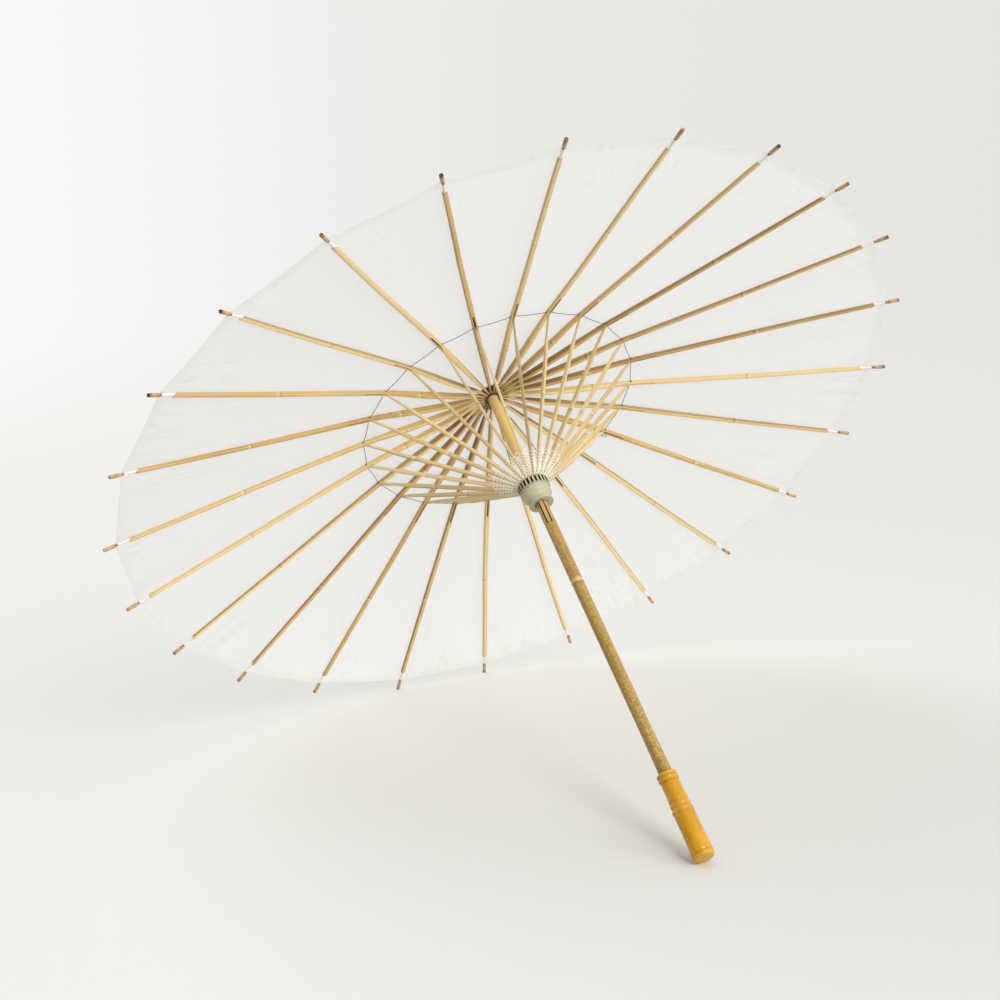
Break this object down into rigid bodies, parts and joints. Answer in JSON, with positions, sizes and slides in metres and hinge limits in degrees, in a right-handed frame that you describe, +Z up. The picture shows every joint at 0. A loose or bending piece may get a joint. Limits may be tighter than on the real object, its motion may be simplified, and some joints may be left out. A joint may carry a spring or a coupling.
{
  "type": "oil paper umbrella",
  "caption": "Open folding parasol: bamboo ribs and stretchers on a sliding runner, thin white oiled-paper cover, bamboo shaft and a turned lacquered handle.",
  "frame": {"origin": "Middle of the bounding box on the floor plane: the open umbrella rests on its handle end and its two lowest rib tips.", "axes": "+Z up. +X across the canopy, the umbrella's mirror plane is X = 0. -Y is the side the handle points to; the shaft rises towards +Y at about 42 degrees to the floor."},
  "size_m": [0.8336, 0.6328, 0.6288],
  "materials": {
    "shaft_bamboo": "lightly oiled bamboo, mottled, with one pale culm node",
    "lacquered_wood": "turned wood under glossy orange-yellow lacquer",
    "notch_wood": "dark tan turned wood, matt",
    "cap_wood": "turned wood under satin lacquer",
    "catch_bamboo": "pale split bamboo",
    "rib_bamboo": "split bamboo, satin, golden tan",
    "stretcher_bamboo": "split bamboo, satin, pale straw",
    "runner_plastic": "pale grey-green moulded plastic",
    "oiled_paper": "thin white oiled paper, translucent",
    "dark_thread": "dark waxed thread",
    "white_thread": "white cotton thread",
    "wire": "soft iron binding wire, dull"
  },
  "bodies": {
    "root": {"shaft": "shaft_bamboo", "handle": "lacquered_wood", "top_notch": "notch_wood", "top_cap": "cap_wood", "upper_hinge_wire": "wire", "stop_pin": "shaft_bamboo", "canopy": "oiled_paper", "ring_thread": "dark_thread", "rim_thread": "white_thread"},
    "runner": {"runner": "runner_plastic", "lacing": "white_thread"},
    "catch": {"catch_spring": "catch_bamboo"},
    "rib_01": {"rib_01": "rib_bamboo"},
    "stretcher_01": {"stretcher_01": "stretcher_bamboo"},
    "rib_02": {"rib_02": "rib_bamboo"},
    "stretcher_02": {"stretcher_02": "stretcher_bamboo"},
    "rib_03": {"rib_03": "rib_bamboo"},
    "stretcher_03": {"stretcher_03": "stretcher_bamboo"},
    "rib_04": {"rib_04": "rib_bamboo"},
    "stretcher_04": {"stretcher_04": "stretcher_bamboo"},
    "rib_05": {"rib_05": "rib_bamboo"},
    "stretcher_05": {"stretcher_05": "stretcher_bamboo"},
    "rib_06": {"rib_06": "rib_bamboo"},
    "stretcher_06": {"stretcher_06": "stretcher_bamboo"},
    "rib_07": {"rib_07": "rib_bamboo"},
    "stretcher_07": {"stretcher_07": "stretcher_bamboo"},
    "rib_08": {"rib_08": "rib_bamboo"},
    "stretcher_08": {"stretcher_08": "stretcher_bamboo"},
    "rib_09": {"rib_09": "rib_bamboo"},
    "stretcher_09": {"stretcher_09": "stretcher_bamboo"},
    "rib_10": {"rib_10": "rib_bamboo"},
    "stretcher_10": {"stretcher_10": "stretcher_bamboo"},
    "rib_11": {"rib_11": "rib_bamboo"},
    "stretcher_11": {"stretcher_11": "stretcher_bamboo"},
    "rib_12": {"rib_12": "rib_bamboo"},
    "stretcher_12": {"stretcher_12": "stretcher_bamboo"},
    "rib_13": {"rib_13": "rib_bamboo"},
    "stretcher_13": {"stretcher_13": "stretcher_bamboo"},
    "rib_14": {"rib_14": "rib_bamboo"},
    "stretcher_14": {"stretcher_14": "stretcher_bamboo"},
    "rib_15": {"rib_15": "rib_bamboo"},
    "stretcher_15": {"stretcher_15": "stretcher_bamboo"},
    "rib_16": {"rib_16": "rib_bamboo"},
    "stretcher_16": {"stretcher_16": "stretcher_bamboo"},
    "rib_17": {"rib_17": "rib_bamboo"},
    "stretcher_17": {"stretcher_17": "stretcher_bamboo"},
    "rib_18": {"rib_18": "rib_bamboo"},
    "stretcher_18": {"stretcher_18": "stretcher_bamboo"},
    "rib_19": {"rib_19": "rib_bamboo"},
    "stretcher_19": {"stretcher_19": "stretcher_bamboo"},
    "rib_20": {"rib_20": "rib_bamboo"},
    "stretcher_20": {"stretcher_20": "stretcher_bamboo"},
    "rib_21": {"rib_21": "rib_bamboo"},
    "stretcher_21": {"stretcher_21": "stretcher_bamboo"},
    "rib_22": {"rib_22": "rib_bamboo"},
    "stretcher_22": {"stretcher_22": "stretcher_bamboo"},
    "rib_23": {"rib_23": "rib_bamboo"},
    "stretcher_23": {"stretcher_23": "stretcher_bamboo"},
    "rib_24": {"rib_24": "rib_bamboo"},
    "stretcher_24": {"stretcher_24": "stretcher_bamboo"}
  },
  "joints": [
    {"name": "runner_slide", "type": "slide", "parent": "root", "child": "runner", "axis": [0, -0.7521, -0.6591], "range_m": [0, 0.18043], "deforming": ["canopy", "ring_thread", "rim_thread", "lacing", "catch_spring"]},
    {"name": "catch_press", "type": "hinge", "parent": "root", "child": "catch", "pos_m": [-0.00178, -0.03068, 0.25703], "axis": [-0.9063, 0.2785, -0.3178], "range_deg": [0, 7.5], "stiffness_Nm_per_rad": 0.34},
    {"name": "rib_01_hinge", "type": "hinge", "parent": "root", "child": "rib_01", "pos_m": [0.01289, 0.09779, 0.3623], "axis": [-0.1305, 0.6534, -0.7456], "range_deg": [0, 75.58]},
    {"name": "stretcher_01_hinge", "type": "hinge", "parent": "rib_01", "child": "stretcher_01", "pos_m": [0.14475, 0.09344, 0.3354], "axis": [0.1305, -0.6534, 0.7456], "range_deg": [0, 125.77]},
    {"name": "rib_02_hinge", "type": "hinge", "parent": "root", "child": "rib_02", "pos_m": [0.01201, 0.09995, 0.35983], "axis": [-0.3827, 0.6089, -0.6948], "range_deg": [0, 75.58]},
    {"name": "stretcher_02_hinge", "type": "hinge", "parent": "rib_02", "child": "stretcher_02", "pos_m": [0.13489, 0.1177, 0.30771], "axis": [0.3827, -0.6089, 0.6948], "range_deg": [0, 125.77]},
    {"name": "rib_03_hinge", "type": "hinge", "parent": "root", "child": "rib_03", "pos_m": [0.01031, 0.10189, 0.35762], "axis": [-0.6088, 0.5229, -0.5967], "range_deg": [0, 75.58]},
    {"name": "stretcher_03_hinge", "type": "hinge", "parent": "rib_03", "child": "stretcher_03", "pos_m": [0.11583, 0.13946, 0.28289], "axis": [0.6088, -0.5229, 0.5967], "range_deg": [0, 125.77]},
    {"name": "rib_04_hinge", "type": "hinge", "parent": "root", "child": "rib_04", "pos_m": [0.00791, 0.10347, 0.35582], "axis": [-0.7934, 0.4012, -0.4578], "range_deg": [0, 75.58]},
    {"name": "stretcher_04_hinge", "type": "hinge", "parent": "rib_04", "child": "stretcher_04", "pos_m": [0.08888, 0.15722, 0.26262], "axis": [0.7934, -0.4012, 0.4578], "range_deg": [0, 125.77]},
    {"name": "rib_05_hinge", "type": "hinge", "parent": "root", "child": "rib_05", "pos_m": [0.00497, 0.10459, 0.35454], "axis": [-0.9239, 0.2522, -0.2878], "range_deg": [0, 75.58]},
    {"name": "stretcher_05_hinge", "type": "hinge", "parent": "rib_05", "child": "stretcher_05", "pos_m": [0.05587, 0.16978, 0.24829], "axis": [0.9239, -0.2522, 0.2878], "range_deg": [0, 125.77]},
    {"name": "rib_06_hinge", "type": "hinge", "parent": "root", "child": "rib_06", "pos_m": [0.0017, 0.10517, 0.35388], "axis": [-0.9914, 0.086, -0.0982], "range_deg": [0, 75.58]},
    {"name": "stretcher_06_hinge", "type": "hinge", "parent": "rib_06", "child": "stretcher_06", "pos_m": [0.01906, 0.17628, 0.24087], "axis": [0.9914, -0.086, 0.0982], "range_deg": [0, 125.77]},
    {"name": "rib_07_hinge", "type": "hinge", "parent": "root", "child": "rib_07", "pos_m": [-0.0017, 0.10517, 0.35388], "axis": [-0.9914, -0.086, 0.0982], "range_deg": [0, 75.58]},
    {"name": "stretcher_07_hinge", "type": "hinge", "parent": "rib_07", "child": "stretcher_07", "pos_m": [-0.01906, 0.17628, 0.24087], "axis": [0.9914, 0.086, -0.0982], "range_deg": [0, 125.77]},
    {"name": "rib_08_hinge", "type": "hinge", "parent": "root", "child": "rib_08", "pos_m": [-0.00497, 0.10459, 0.35454], "axis": [-0.9239, -0.2522, 0.2878], "range_deg": [0, 75.58]},
    {"name": "stretcher_08_hinge", "type": "hinge", "parent": "rib_08", "child": "stretcher_08", "pos_m": [-0.05587, 0.16978, 0.24829], "axis": [0.9239, 0.2522, -0.2878], "range_deg": [0, 125.77]},
    {"name": "rib_09_hinge", "type": "hinge", "parent": "root", "child": "rib_09", "pos_m": [-0.00791, 0.10347, 0.35582], "axis": [-0.7934, -0.4012, 0.4578], "range_deg": [0, 75.58]},
    {"name": "stretcher_09_hinge", "type": "hinge", "parent": "rib_09", "child": "stretcher_09", "pos_m": [-0.08888, 0.15722, 0.26262], "axis": [0.7934, 0.4012, -0.4578], "range_deg": [0, 125.77]},
    {"name": "rib_10_hinge", "type": "hinge", "parent": "root", "child": "rib_10", "pos_m": [-0.01031, 0.10189, 0.35762], "axis": [-0.6088, -0.5229, 0.5967], "range_deg": [0, 75.58]},
    {"name": "stretcher_10_hinge", "type": "hinge", "parent": "rib_10", "child": "stretcher_10", "pos_m": [-0.11583, 0.13946, 0.28289], "axis": [0.6088, 0.5229, -0.5967], "range_deg": [0, 125.77]},
    {"name": "rib_11_hinge", "type": "hinge", "parent": "root", "child": "rib_11", "pos_m": [-0.01201, 0.09995, 0.35983], "axis": [-0.3827, -0.6089, 0.6948], "range_deg": [0, 75.58]},
    {"name": "stretcher_11_hinge", "type": "hinge", "parent": "rib_11", "child": "stretcher_11", "pos_m": [-0.13489, 0.1177, 0.30771], "axis": [0.3827, 0.6089, -0.6948], "range_deg": [0, 125.77]},
    {"name": "rib_12_hinge", "type": "hinge", "parent": "root", "child": "rib_12", "pos_m": [-0.01289, 0.09779, 0.3623], "axis": [-0.1305, -0.6534, 0.7456], "range_deg": [0, 75.58]},
    {"name": "stretcher_12_hinge", "type": "hinge", "parent": "rib_12", "child": "stretcher_12", "pos_m": [-0.14475, 0.09344, 0.3354], "axis": [0.1305, 0.6534, -0.7456], "range_deg": [0, 125.77]},
    {"name": "rib_13_hinge", "type": "hinge", "parent": "root", "child": "rib_13", "pos_m": [-0.01289, 0.09555, 0.36485], "axis": [0.1305, -0.6534, 0.7456], "range_deg": [0, 75.58]},
    {"name": "stretcher_13_hinge", "type": "hinge", "parent": "rib_13", "child": "stretcher_13", "pos_m": [-0.14475, 0.06832, 0.36407], "axis": [-0.1305, 0.6534, -0.7456], "range_deg": [0, 125.77]},
    {"name": "rib_14_hinge", "type": "hinge", "parent": "root", "child": "rib_14", "pos_m": [-0.01201, 0.09339, 0.36732], "axis": [0.3827, -0.6089, 0.6948], "range_deg": [0, 75.58]},
    {"name": "stretcher_14_hinge", "type": "hinge", "parent": "rib_14", "child": "stretcher_14", "pos_m": [-0.13489, 0.04406, 0.39175], "axis": [-0.3827, 0.6089, -0.6948], "range_deg": [0, 125.77]},
    {"name": "rib_15_hinge", "type": "hinge", "parent": "root", "child": "rib_15", "pos_m": [-0.01031, 0.09146, 0.36953], "axis": [0.6088, -0.5229, 0.5967], "range_deg": [0, 75.58]},
    {"name": "stretcher_15_hinge", "type": "hinge", "parent": "rib_15", "child": "stretcher_15", "pos_m": [-0.11583, 0.0223, 0.41658], "axis": [-0.6088, 0.5229, -0.5967], "range_deg": [0, 125.77]},
    {"name": "rib_16_hinge", "type": "hinge", "parent": "root", "child": "rib_16", "pos_m": [-0.00791, 0.08988, 0.37133], "axis": [0.7934, -0.4012, 0.4578], "range_deg": [0, 75.58]},
    {"name": "stretcher_16_hinge", "type": "hinge", "parent": "rib_16", "child": "stretcher_16", "pos_m": [-0.08888, 0.00454, 0.43685], "axis": [-0.7934, 0.4012, -0.4578], "range_deg": [0, 125.77]},
    {"name": "rib_17_hinge", "type": "hinge", "parent": "root", "child": "rib_17", "pos_m": [-0.00497, 0.08876, 0.37261], "axis": [0.9239, -0.2522, 0.2878], "range_deg": [0, 75.58]},
    {"name": "stretcher_17_hinge", "type": "hinge", "parent": "rib_17", "child": "stretcher_17", "pos_m": [-0.05587, -0.00802, 0.45118], "axis": [-0.9239, 0.2522, -0.2878], "range_deg": [0, 125.77]},
    {"name": "rib_18_hinge", "type": "hinge", "parent": "root", "child": "rib_18", "pos_m": [-0.0017, 0.08818, 0.37327], "axis": [0.9914, -0.086, 0.0982], "range_deg": [0, 75.58]},
    {"name": "stretcher_18_hinge", "type": "hinge", "parent": "rib_18", "child": "stretcher_18", "pos_m": [-0.01906, -0.01452, 0.4586], "axis": [-0.9914, 0.086, -0.0982], "range_deg": [0, 125.77]},
    {"name": "rib_19_hinge", "type": "hinge", "parent": "root", "child": "rib_19", "pos_m": [0.0017, 0.08818, 0.37327], "axis": [0.9914, 0.086, -0.0982], "range_deg": [0, 75.58]},
    {"name": "stretcher_19_hinge", "type": "hinge", "parent": "rib_19", "child": "stretcher_19", "pos_m": [0.01906, -0.01452, 0.4586], "axis": [-0.9914, -0.086, 0.0982], "range_deg": [0, 125.77]},
    {"name": "rib_20_hinge", "type": "hinge", "parent": "root", "child": "rib_20", "pos_m": [0.00497, 0.08876, 0.37261], "axis": [0.9239, 0.2522, -0.2878], "range_deg": [0, 75.58]},
    {"name": "stretcher_20_hinge", "type": "hinge", "parent": "rib_20", "child": "stretcher_20", "pos_m": [0.05587, -0.00802, 0.45118], "axis": [-0.9239, -0.2522, 0.2878], "range_deg": [0, 125.77]},
    {"name": "rib_21_hinge", "type": "hinge", "parent": "root", "child": "rib_21", "pos_m": [0.00791, 0.08988, 0.37133], "axis": [0.7934, 0.4012, -0.4578], "range_deg": [0, 75.58]},
    {"name": "stretcher_21_hinge", "type": "hinge", "parent": "rib_21", "child": "stretcher_21", "pos_m": [0.08888, 0.00454, 0.43685], "axis": [-0.7934, -0.4012, 0.4578], "range_deg": [0, 125.77]},
    {"name": "rib_22_hinge", "type": "hinge", "parent": "root", "child": "rib_22", "pos_m": [0.01031, 0.09146, 0.36953], "axis": [0.6088, 0.5229, -0.5967], "range_deg": [0, 75.58]},
    {"name": "stretcher_22_hinge", "type": "hinge", "parent": "rib_22", "child": "stretcher_22", "pos_m": [0.11583, 0.0223, 0.41658], "axis": [-0.6088, -0.5229, 0.5967], "range_deg": [0, 125.77]},
    {"name": "rib_23_hinge", "type": "hinge", "parent": "root", "child": "rib_23", "pos_m": [0.01201, 0.09339, 0.36732], "axis": [0.3827, 0.6089, -0.6948], "range_deg": [0, 75.58]},
    {"name": "stretcher_23_hinge", "type": "hinge", "parent": "rib_23", "child": "stretcher_23", "pos_m": [0.13489, 0.04406, 0.39175], "axis": [-0.3827, -0.6089, 0.6948], "range_deg": [0, 125.77]},
    {"name": "rib_24_hinge", "type": "hinge", "parent": "root", "child": "rib_24", "pos_m": [0.01289, 0.09555, 0.36485], "axis": [0.1305, 0.6534, -0.7456], "range_deg": [0, 75.58]},
    {"name": "stretcher_24_hinge", "type": "hinge", "parent": "rib_24", "child": "stretcher_24", "pos_m": [0.14475, 0.06832, 0.36407], "axis": [-0.1305, -0.6534, 0.7456], "range_deg": [0, 125.77]}
  ],
  "couplings": [
    {"joint": "rib_01_hinge", "follows": "runner_slide", "rad_per_m": 7.3058},
    {"joint": "stretcher_01_hinge", "follows": "runner_slide", "rad_per_m": 12.161},
    {"joint": "rib_02_hinge", "follows": "runner_slide", "rad_per_m": 7.3058},
    {"joint": "stretcher_02_hinge", "follows": "runner_slide", "rad_per_m": 12.161},
    {"joint": "rib_03_hinge", "follows": "runner_slide", "rad_per_m": 7.3058},
    {"joint": "stretcher_03_hinge", "follows": "runner_slide", "rad_per_m": 12.161},
    {"joint": "rib_04_hinge", "follows": "runner_slide", "rad_per_m": 7.3058},
    {"joint": "stretcher_04_hinge", "follows": "runner_slide", "rad_per_m": 12.161},
    {"joint": "rib_05_hinge", "follows": "runner_slide", "rad_per_m": 7.3058},
    {"joint": "stretcher_05_hinge", "follows": "runner_slide", "rad_per_m": 12.161},
    {"joint": "rib_06_hinge", "follows": "runner_slide", "rad_per_m": 7.3058},
    {"joint": "stretcher_06_hinge", "follows": "runner_slide", "rad_per_m": 12.161},
    {"joint": "rib_07_hinge", "follows": "runner_slide", "rad_per_m": 7.3058},
    {"joint": "stretcher_07_hinge", "follows": "runner_slide", "rad_per_m": 12.161},
    {"joint": "rib_08_hinge", "follows": "runner_slide", "rad_per_m": 7.3058},
    {"joint": "stretcher_08_hinge", "follows": "runner_slide", "rad_per_m": 12.161},
    {"joint": "rib_09_hinge", "follows": "runner_slide", "rad_per_m": 7.3058},
    {"joint": "stretcher_09_hinge", "follows": "runner_slide", "rad_per_m": 12.161},
    {"joint": "rib_10_hinge", "follows": "runner_slide", "rad_per_m": 7.3058},
    {"joint": "stretcher_10_hinge", "follows": "runner_slide", "rad_per_m": 12.161},
    {"joint": "rib_11_hinge", "follows": "runner_slide", "rad_per_m": 7.3058},
    {"joint": "stretcher_11_hinge", "follows": "runner_slide", "rad_per_m": 12.161},
    {"joint": "rib_12_hinge", "follows": "runner_slide", "rad_per_m": 7.3058},
    {"joint": "stretcher_12_hinge", "follows": "runner_slide", "rad_per_m": 12.161},
    {"joint": "rib_13_hinge", "follows": "runner_slide", "rad_per_m": 7.3058},
    {"joint": "stretcher_13_hinge", "follows": "runner_slide", "rad_per_m": 12.161},
    {"joint": "rib_14_hinge", "follows": "runner_slide", "rad_per_m": 7.3058},
    {"joint": "stretcher_14_hinge", "follows": "runner_slide", "rad_per_m": 12.161},
    {"joint": "rib_15_hinge", "follows": "runner_slide", "rad_per_m": 7.3058},
    {"joint": "stretcher_15_hinge", "follows": "runner_slide", "rad_per_m": 12.161},
    {"joint": "rib_16_hinge", "follows": "runner_slide", "rad_per_m": 7.3058},
    {"joint": "stretcher_16_hinge", "follows": "runner_slide", "rad_per_m": 12.161},
    {"joint": "rib_17_hinge", "follows": "runner_slide", "rad_per_m": 7.3058},
    {"joint": "stretcher_17_hinge", "follows": "runner_slide", "rad_per_m": 12.161},
    {"joint": "rib_18_hinge", "follows": "runner_slide", "rad_per_m": 7.3058},
    {"joint": "stretcher_18_hinge", "follows": "runner_slide", "rad_per_m": 12.161},
    {"joint": "rib_19_hinge", "follows": "runner_slide", "rad_per_m": 7.3058},
    {"joint": "stretcher_19_hinge", "follows": "runner_slide", "rad_per_m": 12.161},
    {"joint": "rib_20_hinge", "follows": "runner_slide", "rad_per_m": 7.3058},
    {"joint": "stretcher_20_hinge", "follows": "runner_slide", "rad_per_m": 12.161},
    {"joint": "rib_21_hinge", "follows": "runner_slide", "rad_per_m": 7.3058},
    {"joint": "stretcher_21_hinge", "follows": "runner_slide", "rad_per_m": 12.161},
    {"joint": "rib_22_hinge", "follows": "runner_slide", "rad_per_m": 7.3058},
    {"joint": "stretcher_22_hinge", "follows": "runner_slide", "rad_per_m": 12.161},
    {"joint": "rib_23_hinge", "follows": "runner_slide", "rad_per_m": 7.3058},
    {"joint": "stretcher_23_hinge", "follows": "runner_slide", "rad_per_m": 12.161},
    {"joint": "rib_24_hinge", "follows": "runner_slide", "rad_per_m": 7.3058},
    {"joint": "stretcher_24_hinge", "follows": "runner_slide", "rad_per_m": 12.161}
  ]
}
